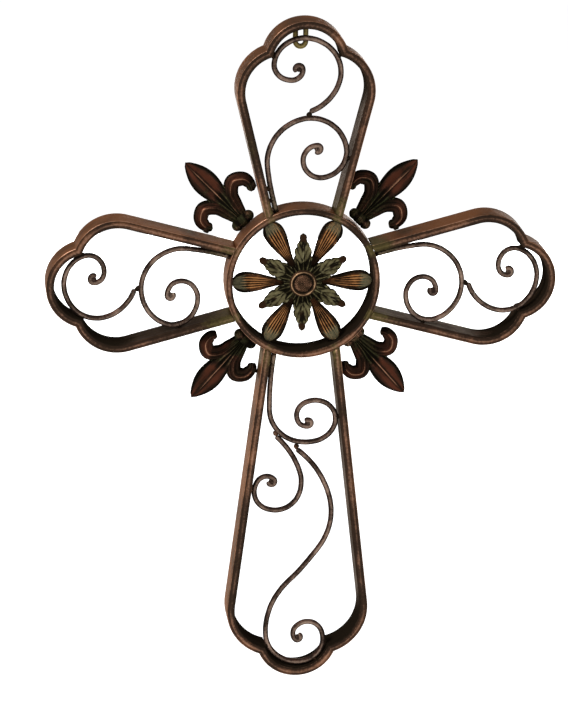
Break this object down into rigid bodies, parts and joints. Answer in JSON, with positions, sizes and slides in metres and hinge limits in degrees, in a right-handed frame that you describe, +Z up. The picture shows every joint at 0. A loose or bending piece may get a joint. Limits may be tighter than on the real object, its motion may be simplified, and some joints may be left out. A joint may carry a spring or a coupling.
{
  "type": "wall cross",
  "caption": "Openwork metal wall cross with trefoil-ended arm frames round a ring, scrolls in the arms, fleurs-de-lis in the corners and a flower in the ring.",
  "frame": {"origin": "on the wall plane, at the middle of the hanger's lower bend, which carries the cross", "axes": "+X to the viewer's right, +Z up, +Y into the wall; the front faces -Y"},
  "size_m": [0.584, 0.034, 0.787],
  "materials": {
    "bar": "dark brown antiqued paint with a copper-brown rub on the edges",
    "rod": "dark brown antiqued paint, slightly hammered",
    "fleur": "dark red-brown antiqued paint with lighter ribs",
    "petal": "copper-brown ribs over dark grooves",
    "leaf": "olive-gold rub over dark recesses",
    "button": "brown, stippled",
    "strap": "olive-gold, lightly rubbed"
  },
  "bodies": {
    "root": {"centre_ring": "bar", "top_arm_frame": "bar", "right_arm_frame": "bar", "bottom_arm_frame": "bar", "left_arm_frame": "bar", "top_inner_scroll": "rod", "top_outer_scroll": "rod", "right_inner_scroll": "rod", "right_outer_scroll": "rod", "bottom_inner_scroll": "rod", "bottom_middle_scroll": "rod", "bottom_outer_scroll": "rod", "left_inner_scroll": "rod", "left_outer_scroll": "rod", "upper_right_fleur": "fleur", "lower_right_fleur": "fleur", "lower_left_fleur": "fleur", "upper_left_fleur": "fleur", "petal_rosette": "petal", "leaf_rosette": "leaf", "centre_button": "button", "hanger": "strap"}
  },
  "joints": []
}
